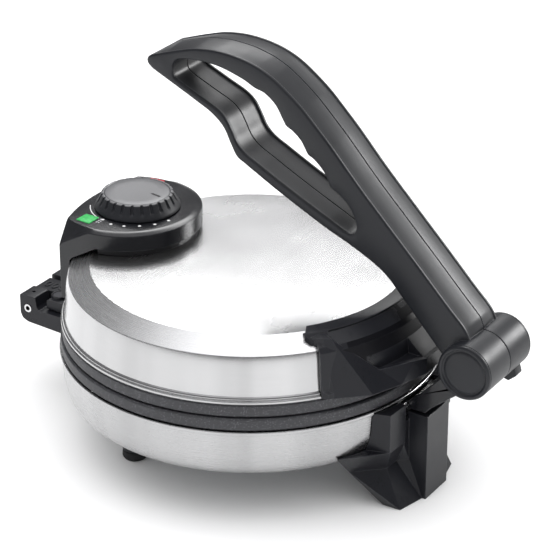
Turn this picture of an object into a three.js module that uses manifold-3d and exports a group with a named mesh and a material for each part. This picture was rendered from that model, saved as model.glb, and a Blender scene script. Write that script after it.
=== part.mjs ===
// Electric roti maker: two round non-stick plates, hinged at the rear, pressed together by a handle.
// Millimetres, +Z up. The front (handle) is -Y, the rear hinge is +Y. The floor is z = 0.
import * as THREE from 'three';
import { mergeVertices } from 'three/addons/utils/BufferGeometryUtils.js';
import Module from 'manifold-3d';

const wasm = await Module();
wasm.setup();

// ---------------------------------------------------------------- driving dimensions
const Y_OFFSET = 8.25;            // puts the middle of the whole length on the origin
const SEG = 60;                   // facets round a plate
const R_PLATE = 117.6;            // lower plate
const R_UPPER = 116.6;            // upper plate
const Z_RIM = 66.8;               // top of the base shell rim
const Z_LOWER_TOP = 75.1;         // top of the lower plate rim
const Z_UPPER_BOT = 75.9;         // underside of the upper plate rim
const Z_LID_FOOT = 84.2;
const Z_LID = 120;                // flat top of the lid
const HINGE = [156.2, 55];        // y, z of the lid hinge
const LINK_PIN = [-118, 61];      // y, z of the pin of the link
const BARREL = [-162, 100.5];     // y, z of the handle axle
const R_BARREL = 17;
const X_BARREL = 24;              // half length of the barrel shells
const X_HANDLE = 18;              // half width of the handle
const DIAL = [0, 84];             // x, y of the dial
const HOUSING = [0, 91, 46.3];    // x, y and radius of the control housing's round front
const Z_DECK = 136;               // flat top of the control housing
const GAP = 0.35;                 // between pieces that touch

// ---------------------------------------------------------------- colours
const mat = (color, roughness, metalness) => new THREE.MeshStandardMaterial({ color, roughness, metalness });
const STEEL = () => mat(0xd2d3d5, 0.22, 1.0);
const STEEL_BRUSHED = () => mat(0xb9babd, 0.34, 1.0);
const BLACK = () => mat(0x2c2e33, 0.46, 0.0);
const BLACK_MATTE = () => mat(0x2a2c31, 0.58, 0.0);
const COAT = () => mat(0x2a2b30, 0.62, 0.1);
const ZINC = () => mat(0x9fa2a6, 0.38, 1.0);
const RUBBER = () => mat(0x161618, 0.85, 0.0);

// ---------------------------------------------------------------- helpers
const root = new THREE.Group();
const frame = new THREE.Group();
frame.position.y = Y_OFFSET;
root.add(frame);

// closed geometry -> solid: welded, without collapsed triangles, facing out
function solid(geo) {
  let g = geo.index ? geo.toNonIndexed() : geo.clone();
  for (const n of Object.keys(g.attributes)) if (n !== 'position') g.deleteAttribute(n);
  g = mergeVertices(g, 1e-4);
  const p = g.attributes.position;
  const tri = [];
  let vol = 0;
  const a = new THREE.Vector3(), b = new THREE.Vector3(), c = new THREE.Vector3();
  for (let i = 0; i < g.index.count; i += 3) {
    const [i0, i1, i2] = [g.index.getX(i), g.index.getX(i + 1), g.index.getX(i + 2)];
    if (i0 === i1 || i1 === i2 || i0 === i2) continue;
    tri.push(i0, i1, i2);
    a.fromBufferAttribute(p, i0); b.fromBufferAttribute(p, i1); c.fromBufferAttribute(p, i2);
    vol += a.dot(b.cross(c)) / 6;
  }
  if (vol < 0) for (let i = 0; i < tri.length; i += 3) [tri[i + 1], tri[i + 2]] = [tri[i + 2], tri[i + 1]];
  return new wasm.Manifold(new wasm.Mesh({
    numProp: 3, vertProperties: new Float32Array(p.array), triVerts: new Uint32Array(tri),
  }));
}
function geometry(man) {
  const m = man.getMesh();
  const g = new THREE.BufferGeometry();
  g.setAttribute('position', new THREE.BufferAttribute(new Float32Array(m.vertProperties), 3));
  g.setIndex(Array.from(m.triVerts));
  g.computeVertexNormals();
  return g;
}
function put(name, man, material) {
  const mesh = new THREE.Mesh(geometry(man), material);
  mesh.name = name;
  frame.add(mesh);
  return mesh;
}
const union = (...s) => s.reduce((a, b) => a.add(b));
const shapeOf = (pts) => new THREE.Shape(pts.map(([x, y]) => new THREE.Vector2(x, y)));
// outline in x, y pushed up from z0 to z1
function prismZ(pts, z0, z1, holes = []) {
  const s = shapeOf(pts);
  for (const h of holes) s.holes.push(new THREE.Path(h.map(([x, y]) => new THREE.Vector2(x, y))));
  const g = new THREE.ExtrudeGeometry(s, { depth: z1 - z0, bevelEnabled: false, steps: 1 });
  g.translate(0, 0, z0);
  return solid(g);
}
// outline in y, z pushed along x
function prismX(pts, x0, x1, holes = []) {
  const s = shapeOf(pts);
  for (const h of holes) s.holes.push(new THREE.Path(h.map(([x, y]) => new THREE.Vector2(x, y))));
  const g = new THREE.ExtrudeGeometry(s, { depth: x1 - x0, bevelEnabled: false, steps: 1 });
  g.translate(0, 0, x0);
  g.applyMatrix4(new THREE.Matrix4().makeBasis(new THREE.Vector3(0, 1, 0), new THREE.Vector3(0, 0, 1), new THREE.Vector3(1, 0, 0)));
  return solid(g);
}
// profile of r, z turned round the z axis
function turned(profile, seg = SEG, closed = false) {
  const pts = profile.map(([r, z]) => new THREE.Vector2(r, z));
  if (closed) pts.push(pts[0].clone());
  const g = new THREE.LatheGeometry(pts, seg);
  g.rotateX(Math.PI / 2);
  return solid(g);
}
const box = (x0, x1, y0, y1, z0, z1) => {
  const g = new THREE.BoxGeometry(x1 - x0, y1 - y0, z1 - z0);
  g.translate((x0 + x1) / 2, (y0 + y1) / 2, (z0 + z1) / 2);
  return solid(g);
};
const cylZ = (x, y, r, z0, z1, seg = 24, rTop = r) => {
  const g = new THREE.CylinderGeometry(rTop, r, z1 - z0, seg);
  g.rotateX(Math.PI / 2);
  g.translate(x, y, (z0 + z1) / 2);
  return solid(g);
};
const cylX = (y, z, r, x0, x1, seg = 24) => {
  const g = new THREE.CylinderGeometry(r, r, x1 - x0, seg);
  g.rotateZ(Math.PI / 2);
  g.translate((x0 + x1) / 2, y, z);
  return solid(g);
};
const cylY = (x, z, r, y0, y1, seg = 20) => {
  const g = new THREE.CylinderGeometry(r, r, y1 - y0, seg);
  g.translate(x, (y0 + y1) / 2, z);
  return solid(g);
};
// skin through a stack of rings with the same number of points, capped at both ends
function loft(rings, flat = [0, 1]) {
  const n = rings[0].length;
  const pos = [];
  for (const r of rings) for (const p of r) pos.push(...p);
  const idx = [];
  for (let k = 0; k < rings.length - 1; k++) {
    for (let i = 0; i < n; i++) {
      const a = k * n + i, b = k * n + ((i + 1) % n), c = a + n, d = b + n;
      idx.push(a, b, d, a, d, c);
    }
  }
  const cap = (ring, base, up) => {
    const c2 = ring.map((p) => new THREE.Vector2(p[flat[0]], p[flat[1]]));
    const area = THREE.ShapeUtils.area(c2);
    for (const f of THREE.ShapeUtils.triangulateShape(c2, [])) {
      const t = f.map((i) => base + i);
      if ((area > 0) === up) idx.push(t[0], t[1], t[2]); else idx.push(t[0], t[2], t[1]);
    }
  };
  cap(rings[0], 0, false);
  cap(rings[rings.length - 1], (rings.length - 1) * n, true);
  const g = new THREE.BufferGeometry();
  g.setAttribute('position', new THREE.BufferAttribute(new Float32Array(pos), 3));
  g.setIndex(idx);
  return solid(g);
}
const mirrorX = (pts) => pts.concat([...pts].reverse().map(([x, ...q]) => [-x, ...q]));
const arc = (cx, cy, r, a0, a1, n) => Array.from({ length: n + 1 }, (_, i) => {
  const a = THREE.MathUtils.degToRad(a0 + ((a1 - a0) * i) / n);
  return [cx + r * Math.cos(a), cy + r * Math.sin(a)];
});
// round bar along a flat open ring, with its two ends turned out
function elementBar(radius, z, bar, tailDir) {
  const pts = [];
  const open = 16;
  pts.push(new THREE.Vector3(...polar(radius - 16, 90 - open * 0.62), z + tailDir));
  for (let a = 90 - open; a >= 90 + open - 360; a -= 10.25) pts.push(new THREE.Vector3(...polar(radius, a), z));
  pts.push(new THREE.Vector3(...polar(radius - 16, 90 + open * 0.62 - 360), z + tailDir));
  const sec = shapeOf(arc(0, 0, bar, 0, 300, 5));
  return solid(new THREE.ExtrudeGeometry(sec, { steps: 42, bevelEnabled: false, extrudePath: new THREE.CatmullRomCurve3(pts, false, 'centripetal') }));
}
function polar(r, deg) {
  const a = THREE.MathUtils.degToRad(deg);
  return [r * Math.cos(a), r * Math.sin(a)];
}
// straight bar in y, z from the handle axle, at an angle from +y
const neckSlot = (deg, half, len) => {
  const a = THREE.MathUtils.degToRad(deg), d = [Math.cos(a), Math.sin(a)], n = [-d[1], d[0]];
  return [[0, -half], [len, -half], [len, half], [0, half]].map(([s, t]) => [BARREL[0] + d[0] * s + n[0] * t, BARREL[1] + d[1] * s + n[1] * t]);
};
// pan-head screw: shank up the given axis from the head
const screwZ = (x, y, zHead, zEnd, r = 2, rh = 3.8) => {
  const up = zEnd > zHead;
  const h = up ? 2 : -2;
  return union(cylZ(x, y, rh, Math.min(zHead, zHead + h), Math.max(zHead, zHead + h), 16),
    cylZ(x, y, r, Math.min(zHead + h * 0.5, zEnd), Math.max(zHead + h * 0.5, zEnd), 12));
};

// ---------------------------------------------------------------- reference skins
const shellOuter = [[100, 33.6], [107.5, 34.0], [111.6, 36.2], [114.6, 40.4], [116.2, 46.5], [117.1, 55], [117.6, 64.2]];
const baseClear = turned([[0, 33.2], ...shellOuter.map(([r, z]) => [r + GAP, z - (z < 40 ? GAP : 0)]), [119, 64.6], [119, 67], [0, 67]]);
const lidOuter = [[0, Z_LID], [97.4, Z_LID], [98.8, 119.6], [111.0, 113.3], [112.4, 112.0], [113.4, 104], [114.4, 94], [114.8, 88.4]];
const lidClear = (d, dTop = d) => turned([[0, Z_LID + dTop], [97.4 + d * 0.4, Z_LID + dTop], [98.8 + d * 0.6, 119.6 + d * 0.9], [111.0 + d * 0.7, 113.3 + d * 0.7],
  [112.4 + d, 112.0 + d * 0.2], [113.4 + d, 104], [114.4 + d, 94], [114.8 + d, 89], [116.9 + d, 87.6], [117 + d, 83], [117 + d, 70], [0, 70]]);

// ================================================================ base
{
  const inner = [[116.2, 64.2], [115.6, 54], [114.6, 46], [112.3, 38.9], [107.6, 35.3], [100, 34.9]];
  let shell = turned([...shellOuter, [118.3, 64.6], [118.6, 65.7], [118.3, Z_RIM], [116.4, Z_RIM], ...inner], SEG, true);
  shell = shell.subtract(box(-22.6, 22.6, -125, -105, 50, 64.4));            // window behind the link
  const gx = polar(100, 62);
  const gland = new THREE.CylinderGeometry(7.4, 7.4, 40, 20);
  gland.rotateZ(-Math.PI / 2); gland.translate(115, 0, 50); gland.rotateZ(THREE.MathUtils.degToRad(62));
  shell = shell.subtract(solid(gland));
  for (const s of [-1, 1]) shell = shell.subtract(cylZ(s * 18, -102, 2.35, 30, 38, 12));
  put('base_shell', shell, STEEL());

  let cover = turned([[0, 33.4], [99.5, 33.4], [99.5, 35.2], [0, 35.2]], SEG);
  for (const s of [-1, 1]) cover = cover.subtract(cylZ(s * 65, 44, 2.35, 30, 38, 12));
  for (let k = 0; k < 5; k++) cover = cover.subtract(box(-30, 30, -32 + k * 13, -28 + k * 13, 30, 38));
  put('base_cover', cover, mat(0x8f9296, 0.5, 0.8));

  put('lower_plate', turned([[0, 74.3], [97.5, 74.3], [99.5, Z_LOWER_TOP], [116.7, Z_LOWER_TOP], [R_PLATE, 74.3], [R_PLATE, 68.1],
    [116.9, 67.3], [108, 67.3], [106, 62.5], [101, 62.5], [98.5, 68.6], [0, 68.6]]), COAT());
  put('lower_heating_element', elementBar(66, 64.7, 3.3, -4.5), mat(0x6d625b, 0.6, 0.7));
  put('lower_element_clamp', prismZ([[-84, -7], [84, -7], [84, 7], [-84, 7]], 58.4, 60.6), ZINC());
  put('lower_heat_shield', turned([[0, 55.4], [96, 55.4], [99, 60], [97.4, 60], [95, 56.6], [0, 56.6]], 36), mat(0xb8babd, 0.45, 0.9));
  put('terminal_block', box(24, 58, 56, 74, 36, 50), mat(0xe6e2d6, 0.6, 0.0));

  // cable gland, its bore open right through
  const g = new THREE.LatheGeometry([[3.6, -9], [7, -9], [7, 1.1], [10, 1.1], [10, 3.6], [6.4, 5.2], [5.4, 13], [3.6, 13], [3.6, -9]].map(([r, z]) => new THREE.Vector2(r, z)), 20);
  g.rotateZ(-Math.PI / 2); g.translate(117.6, 0, 50); g.rotateZ(THREE.MathUtils.degToRad(62));
  put('cable_gland', solid(g), BLACK_MATTE());

  // front leg: centre column, two side columns and two wings that narrow to the floor
  const low = mirrorX([[-13, -133], [-13, -130.7], [-13.5, -130.6], [-13.9, -130.5], [-32, -126.3], [-32.2, -114.5], [-14, -98]].map(([x, y]) => [x, y]));
  const top = mirrorX([[-13, -133], [-13, -120.4], [-20.6, -120.4], [-20.6, -122.2], [-37, -121.2], [-60.5, -99], [-32, -88]].map(([x, y]) => [x, y]));
  const mid = mirrorX([[-13, -133], [-13, -121], [-17, -117], [-18.5, -115.5], [-29.2, -115], [-45, -98.2], [-23.8, -89.2]]);
  let leg = loft([low.map(([x, y]) => [x, y, 0]), mid.map(([x, y]) => [x, y, 24]), top.map(([x, y]) => [x, y, 40.4])]);
  for (const s of [-1, 1]) {
    const side = [[s * 20.6, -122.2], [s * 37, -121.2], [s * 41.5, -107.4], [s * 20.6, -112]];
    leg = leg.add(prismZ(side, 40, 65.4));
  }
  leg = leg.add(box(-22, 22, -120.4, -110, 40, 52)).add(box(-13, 13, -133, -119, 40, 56.5));
  leg = leg.subtract(baseClear);
  leg = leg.subtract(cylX(LINK_PIN[0], LINK_PIN[1], 2.4, -27.4, 27.4, 16));
  for (const s of [-1, 1]) leg = leg.subtract(cylZ(s * 18, -102, 2.35, 20, 40, 12));
  // shallow recess under the leg, so it stands on its rim
  leg = leg.subtract(prismZ(mirrorX([[-12, -126.6], [-27, -122], [-26, -114], [-10, -104]]), -1, 2));
  put('front_leg', leg, BLACK());
  put('link_pin', cylX(LINK_PIN[0], LINK_PIN[1], 2.05, -27, 27, 16), ZINC());
  for (const [s, n] of [[-1, 'left'], [1, 'right']]) {
    put(`leg_screw_${n}`, screwZ(s * 18, -102, 37.5, 23, 2, 3.8), ZINC());
    let post = turned([[0, 32.9], [11, 32.9], [11, 30.5], [8.6, 28], [7.6, 6.4], [0, 6.4]], 24).translate([s * 65, 44, 0]);
    post = post.subtract(cylZ(s * 65, 44, 2.35, 14, 34, 12));
    put(`rear_foot_${n}`, post, BLACK_MATTE());
    put(`foot_pad_${n}`, turned([[0, 6.0], [7.6, 6.0], [7.8, 2], [6.8, 0], [0, 0]], 24).translate([s * 65, 44, 0]), RUBBER());
    put(`foot_screw_${n}`, screwZ(s * 65, 44, 37.7, 16, 2, 3.8), ZINC());
  }

  // rear hinge bracket: two heads on arms, joined by a web on the shell
  const armOutline = [[112, 42.8], [156.6, 45.1], [160.8, 46.9], [162.5, 50.4], [162.5, 62.9], [161.4, 64], [151.2, 64], [150.2, 63], [149.2, 57.2], [147.6, 55.4], [112, 55]];
  let br = union(prismX(armOutline, -24, -10.2), prismX(armOutline, 10.2, 24), prismX([[112, 42.6], [124, 43.2], [124, 51], [112, 51]], -24, 24));
  br = br.subtract(baseClear).subtract(cylX(...HINGE, 3.05, -26, 26, 20));
  put('hinge_bracket', br, BLACK());
  put('hinge_pin', cylX(...HINGE, 2.75, -24.4, 24.4, 20).subtract(cylX(...HINGE, 1.6, -26, 26, 16)), STEEL());
}

// ================================================================ lid
{
  const inner = [[112.0, 84.2], [113.0, 90], [112.1, 103.6], [110.9, 111.4], [98.3, 118.0], [0, 118.4]];
  let lid = turned([...lidOuter, [115.7, 88.0], [116.3, 87.3], [115.7, 86.6], [116.6, 86.0], [117.0, 85.1], [116.6, Z_LID_FOOT], ...inner]);
  lid = lid.subtract(cylZ(...DIAL, 7, 116, 122, 20));
  for (const s of [-1, 1]) {
    lid = lid.subtract(cylZ(s * 22, 66, 2.35, 115, 122, 12));
    lid = lid.subtract(cylY(s * 36, 90.4, 2.35, -116, -100, 12));
  }
  put('lid_shell', lid, STEEL_BRUSHED());
  put('upper_plate', turned([[0, 83.0], [98.5, 83.0], [101, 88.5], [106, 88.5], [108, 83.8], [115.8, 83.8], [R_UPPER, 83.1], [R_UPPER, 76.7],
    [115.8, Z_UPPER_BOT], [99.5, Z_UPPER_BOT], [97.5, 76.7], [0, 76.7]]), COAT());
  put('upper_heating_element', elementBar(66, 86.7, 3.3, 4.5), mat(0x6d625b, 0.6, 0.7));
  put('upper_element_clamp', prismZ([[-84, -7], [84, -7], [84, 7], [-84, 7]], 90.4, 92.4), ZINC());
  put('upper_heat_shield', turned([[0, 94.8], [88, 94.8], [92, 91.6], [93.4, 92.6], [89, 96], [0, 96]], 36), mat(0xb8babd, 0.45, 0.9));
  put('thermostat_body', union(cylZ(...DIAL, 12.5, 98, 113.6, 24), cylZ(...DIAL, 5.2, 113, 117.4, 20)), mat(0xcfc8b8, 0.6, 0.0));

  // control housing: round front wider than the dial, flat sides whose top edge falls to the rear, rear edge round the lid, rear skirt
  const [, HY, HR] = HOUSING;
  const R_DECK = 42.3, R_REAR = 120.3;
  const wallTop = (y) => Math.min(134.8, 134.5 - 0.585 * (y - 88.4));
  // ring of points from the left rear corner round the front to the right rear corner, closed along the rear
  const ringOf = (r, aSide, rRear, z, flat) => {
    const corner = flat ? [-r, Math.sqrt(rRear * rRear - r * r)] : [r * Math.cos(THREE.MathUtils.degToRad(aSide)), HY + r * Math.sin(THREE.MathUtils.degToRad(aSide))];
    const side = flat ? [0, 1, 2, 3].map((k) => [-r, corner[1] + (HY - corner[1]) * k / 4]) : [0, 1, 2, 3].map((k) => arc(0, HY, r, aSide, 180, 4)[k]);
    const a = THREE.MathUtils.radToDeg(Math.atan2(corner[1], -corner[0]));
    const right = side.map(([x, y]) => [-x, y]).reverse();
    return [...side, ...arc(0, HY, r, 180, 360, 20), ...right, ...arc(0, 0, rRear, a, 180 - a, 8).slice(1, -1)].map(([x, y]) => [x, y, typeof z === 'number' ? z : z(y)]);
  };
  let house = loft([ringOf(HR, 0, R_REAR, 104, true), ringOf(HR, 0, R_REAR, wallTop, true), ringOf(R_DECK, 152.5, 116.6, Z_DECK, false)]);
  const skirt = turned([[116.4, 84.6], [R_REAR, 84.6], [R_REAR, 118], [112, 118], [112, 112], [115, 100]], SEG, true).intersect(box(-HR, HR, 90, 130, 80, 120));
  const houseClear = turned([[0, 124.7], [95.5, 124.7], [111.7, 114.3], [113.3, 112.3], [114.3, 104], [115.3, 94], [115.7, 89], [117.8, 87.6], [117.9, 83], [117.9, 70], [0, 70]]);
  house = union(house, skirt).subtract(houseClear);
  house = house.subtract(loft([ringOf(43.4, 160, 113.4, 90, false), ringOf(43.4, 160, 113.4, 120, false), ringOf(40.4, 158, 112.6, 132.8, false)]));
  for (const s of [-1, 1]) {
    house = house.add(cylZ(s * 22, 66, 4.4, 124.9, 134, 16)).subtract(cylZ(s * 22, 66, 2.3, 118, 132, 12));
    house = house.subtract(box(s * 32 - 5.45, s * 32 + 5.45, 93.6, 104.6, 130, 140));
  }
  house = house.subtract(cylZ(...DIAL, 4.6, 130, 140, 20));
  put('control_housing', house, BLACK());
  put('housing_neck', cylZ(0, HY, 43.4, 120.35, 124.35, 40).intersect(cylZ(0, 0, 94.6, 118, 126, SEG)).subtract(cylZ(...DIAL, 9, 118, 126, 20))
    .subtract(cylZ(22, 66, 2.4, 118, 126, 12)).subtract(cylZ(-22, 66, 2.4, 118, 126, 12)), BLACK_MATTE());
  for (const [s, n, c] of [[-1, 'green', 0x19a34a], [1, 'red', 0xb3202a]]) {
    put(`${n}_lens`, box(s * 32 - 5.15, s * 32 + 5.15, 93.9, 104.3, 132.9, 136.45), mat(c, 0.25, 0.0));
    put(`${n}_lamp`, cylZ(s * 32, 99, 2.6, 125.0, 132.5, 12), mat(0xe9e4d8, 0.3, 0.0));
    put(`housing_screw_${s < 0 ? 'left' : 'right'}`, screwZ(s * 22, 66, 116.1, 131, 2, 3.8), ZINC());
  }

  // press bracket: apron over the lid wall, rim on the lid top, two pockets and a middle strut
  const outerLow = [[-67, -80.5], [-68, -96], [-66.5, -100.5], [-51, -117], [-31, -124.8], [-12, -130]];
  const lip = [[-67, -80.5, 119.5], [-64.5, -91, 120.4], [-62, -94.5, 120], [-39.5, -114.5, 95.5], [-20, -126.5, 95.8], [-10, -129.6, 94]];
  const section = ([bx, by], [x, y, z]) => {
    const k = 100 / Math.hypot(x, y);
    return [[x * k, y * k, 84.7], [x * k, y * k, z], [x, y, z], [bx, by, 84.7]];
  };
  const left = outerLow.map((b, i) => section(b, lip[i]));
  const rightHalf = left.slice().reverse().map((q) => q.map(([x, y, z]) => [-x, y, z]));
  let press = loft([...left, ...rightHalf], [1, 2]);
  const sector = mirrorX([[-56, -74.5], [-70.5, -93.5], [-69, -98.5], [-50, -118.5], [-20, -124]]);
  const rimBand = turned([[95.4, 119], [95.4, 121.4], [96.2, 122.0], [105.6, 121.0], [108.6, 117.6], [108, 112]], SEG, true)
    .intersect(prismZ(mirrorX([[-55.5, -74.5], [-67.2, -80.5], [-67.5, -90], [-50, -112]]), 100, 130));
  const apron = lidClear(3.0, 1.2).intersect(prismZ(sector, 84.7, 121));
  press = union(press, rimBand, apron).subtract(cylZ(0, 0, 95.4, 100, 130, SEG));
  const pocket = prismZ(mirrorX([[-40, -80], [-57.5, -90], [-38.2, -112.4], [-18.9, -124.2]]), 94, 140);
  press = press.subtract(pocket.subtract(lidClear(3.0, 3.0)).subtract(turned([[0, 100], [104.8, 100], [104.8, 130], [0, 130]])));
  press = press.add(prismX([[-108, 90], [-129.6, 90], [-129.6, 91.4], [-127, 93.8], [-113, 107], [-108, 112]], -10, 10));
  press = press.subtract(lidClear(GAP));
  press = press.subtract(turned([[0, 70], [R_UPPER + 0.5, 70], [R_UPPER + 0.5, 84.4], [0, 84.4]]));
  for (const s of [-1, 1]) {
    press = press.subtract(cylY(s * 36, 90.4, 2.3, -117, -100, 12));
    put(`bracket_screw_${s < 0 ? 'left' : 'right'}`, union(cylY(s * 36, 90.4, 3.8, -105.6, -103.6, 16), cylY(s * 36, 90.4, 2, -115.5, -104.4, 12)), ZINC());
  }
  put('press_bracket', press, BLACK_MATTE());

  // hinge arm: eye round the pin, stem, cross bar with two bosses, upright on the lid foot
  let arm = prismX([[122, 56.3], [143, 56.3], [149.5, 50.5], [153, 48], [157, 47.6], [160.6, 49.4], [162.5, 52.6], [162.5, 62.2], [122, 62.2]], -7.6, 7.6);
  arm = arm.add(prismX([[112, 56.3], [144, 56.3], [144, 62], [142.6, 62.9], [128, 62.9], [126.5, 66], [126.5, 82.8], [112, 82.8]], -20, 20));
  arm = arm.subtract(cylX(...HINGE, 3.1, -26, 26, 20));
  arm = arm.subtract(turned([[0, 40], [119.2, 40], [119.2, 75.5], [117.4, 75.9], [117.4, 90], [0, 90]]));
  for (const [s, n] of [[-1, 'left'], [1, 'right']]) {
    arm = arm.add(cylZ(s * 13, 139.2, 4.9, 62, 64.9, 20)).subtract(cylZ(s * 13, 139.2, 4.1, 63.2, 67, 20)).subtract(cylZ(s * 13, 139.2, 2.3, 57.6, 67, 12));
    put(`hinge_screw_${n}`, union(cylZ(s * 13, 139.2, 3.75, 63.55, 64.7, 16), cylZ(s * 13, 139.2, 1.95, 57.9, 64, 12)), mat(0x2b2c2f, 0.5, 0.8));
  }
  put('hinge_arm', arm, BLACK_MATTE());
}

// ================================================================ dial knob
{
  const RIBS = 24;
  // straight slots between the ribs: ro on a rib, ri in a slot
  const ring = (ro, ri, z) => Array.from({ length: RIBS * 5 }, (_, i) => {
    const a = THREE.MathUtils.degToRad(-130.5 + (Math.floor(i / 5) + [0, 0.4, 0.46, 0.54, 0.6][i % 5]) * 360 / RIBS);
    const r = i % 5 === 2 || i % 5 === 3 ? ri : ro;
    return [DIAL[0] + r * Math.cos(a), DIAL[1] + r * Math.sin(a), z];
  });
  let knob = loft([ring(26.5, 26.5, 136.4), ring(26.9, 26.9, 137.1), ring(25.0, 25.0, 140.4), ring(24.7, 23.9, 140.9), ring(22.5, 21.6, 145.0), ring(21.3, 21.3, 146.0)]);
  knob = knob.subtract(cylZ(...DIAL, 3.3, 130, 142.5, 16));
  knob = knob.subtract(prismZ([[1.8, 75.1], [3.1, 74.8], [1.6, 67.4], [0.3, 67.7]], 145.4, 150));
  put('dial_knob', knob, BLACK_MATTE());
  put('dial_shaft', cylZ(...DIAL, 2.95, 117.8, 142.1, 16), ZINC());
}

// ================================================================ link
{
  const [py, pz] = LINK_PIN;
  const notch = arc(BARREL[0], BARREL[1], R_BARREL + 1.2, -30, -88, 6);
  const block = [[-114.6, 58.8], [-131, 58.8], [-134.5, 63], [-152.3, 77.5], ...[...notch].reverse(), [-140, 84.6], [-127, 70.7], [-123.8, 68.6], [-119.4, 63.9], [-114.6, 63.4]];
  const web = [[-140.2, 84.3], [-140.2, 99.5], ...arc(BARREL[0], BARREL[1], R_BARREL + 1.2, -3, -36, 4)];
  let link = prismX(block.reverse(), -13, 13);
  // neck and eye between the barrel shells
  link = link.add(prismX(web, -7.8, 7.8)).add(prismX(neckSlot(-12, 3.6, 21), -7.8, 7.8)).add(cylX(...BARREL, 11.5, -7.8, 7.8, 24));
  link = link.subtract(cylX(...BARREL, 6.3, -10, 10, 20)).subtract(cylX(py, pz, 2.5, -20, 20, 16));
  put('link_arm', link, BLACK());
  put('link_bush', cylX(...BARREL, 6, -7.8, 7.8, 20).subtract(cylX(...BARREL, 4.3, -10, 10, 20)), mat(0xb08d4c, 0.4, 1.0));
}

// ================================================================ handle
{
  const top = [[60.9, 241.2], [61.8, 243.6], [60.9, 245.8], [58.4, 247.7], [50, 250.4], [39, 254.2], [27, 257.6], [12, 259.3], [-3.5, 258.2], [-16, 255.2], [-26, 250.8], [-36, 244.2],
    [-46, 236.4], [-55, 227.8], [-66, 216.8], [-86, 195.2], [-106, 175.0], [-126, 155.0], [-146, 134.6], [-157, 123.6], [-160.5, 117.4]];
  const low = [[-145.2, 101.6], [-141.5, 105.2], [-125.8, 122.1], [-113.4, 135.4], [-106.5, 142.7], [-100.9, 147.1], [-89.6, 153.3], [-78.3, 158.4], [-64.0, 164.2],
    [-32.3, 179.2], [-17.6, 186.8], [-7.6, 192.2], [-1.7, 195.6], [2.6, 202.7], [7.9, 212.5], [15.5, 219.1], [27.0, 224.9], [42.4, 231.9], [57.9, 238.9]];
  const outline = [...top, BARREL, ...low];
  const slot = [[43.4, 238.2], [42.6, 246.0], [39.0, 248.4], [23.5, 250.7], [12.0, 250.1], [3.7, 248.4], [-7.6, 244.9], [-14.3, 241.8], [-21.0, 240.0],
    [-28.5, 234.4], [-33.6, 226.4], [-40.0, 221.0], [-46.0, 215.9], [-50.4, 209.2], [-55.4, 205.8], [-61.4, 200.2], [-66.6, 191.2], [-72.1, 187.9],
    [-78.6, 182.4], [-83.9, 172.0], [-82.6, 166.0], [-79.0, 165.0], [-63.9, 171.4], [-37.6, 183.6], [-17.6, 193.6], [-4.8, 200.4], [0.4, 210.0], [7.8, 220.2], [27.0, 229.3], [42.2, 236.4]];
  const cavity = [[-100.7, 173.2], [-143.4, 130.6], [-132.6, 119.8], [-90.2, 162.4]];
  const screws = [[52.5, 243.2], [-88.5, 181.5], [-150.4, 119.2]];
  // room for the neck of the link over the whole swing
  const sector = [[BARREL[0], BARREL[1]], ...arc(BARREL[0], BARREL[1], 19.5, -12, -122, 12)];
  for (const [s, n] of [[-1, 'left'], [1, 'right']]) {
    const x0 = Math.min(s * 0.15, s * X_HANDLE), x1 = Math.max(s * 0.15, s * X_HANDLE);
    let half = prismX(outline, x0, x1, [slot]);
    // outer long edges taken off
    const b0 = Math.min(s * 0.15, s * X_BARREL), b1 = Math.max(s * 0.15, s * X_BARREL);
    half = half.add(cylX(...BARREL, R_BARREL, b0, b1, 30));
    half = half.subtract(prismX(cavity, Math.min(s * -1, s * 15.2), Math.max(s * -1, s * 15.2)));
    half = half.subtract(cylX(...BARREL, 12.2, -8.3, 8.3, 28)).subtract(union(prismX(sector, -8.3, 8.3), prismX(neckSlot(-12, 4.3, 19.5), -8.3, 8.3), prismX(neckSlot(-122, 4.3, 19.5), -8.3, 8.3)));
    if (s > 0) half = half.add(prismX([[-175.2, 90], [-176.6, 85], [-171.4, 80.6], [-165, 82.5], [-162, 90]], 13.4, 20.4));   // small lug under the barrel
    half = half.subtract(cylX(...BARREL, 4.3, -30, 30, 20));
    for (const [y, z] of screws) half = half.subtract(s < 0 ? cylX(y, z, 2.0, -11, 1, 12) : union(cylX(y, z, 2.0, -1, 20, 12), cylX(y, z, 3.7, 14, 20, 16)));
    put(`handle_shell_${n}`, half, BLACK_MATTE());
    // barrel cap with a sunk face inside a raised ring
    const cap = new THREE.LatheGeometry([[0, 0.3], [16.2, 0.3], [17, 0.9], [16.8, 1.9], [15.6, 2.4], [13.9, 2.4], [13.3, 1.4], [0, 1.2]].map(([r, h]) => new THREE.Vector2(r, h)), 30);
    cap.rotateZ(-Math.PI / 2); if (s < 0) cap.rotateY(Math.PI);
    cap.translate(s * X_BARREL, BARREL[0], BARREL[1]);
    put(`barrel_cap_${n}`, solid(cap), BLACK_MATTE());
  }
  put('handle_axle', cylX(...BARREL, 4.0, -23.7, 23.7, 20), ZINC());
  screws.forEach(([y, z], i) => put(`handle_screw_${i + 1}`, union(cylX(y, z, 3.3, 15.0, 17.2, 16), cylX(y, z, 1.7, -9.5, 16, 12)), ZINC()));
}

export default root;
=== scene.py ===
import math

import bpy
import bmesh
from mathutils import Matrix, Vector
from mathutils.geometry import tessellate_polygon

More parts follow.
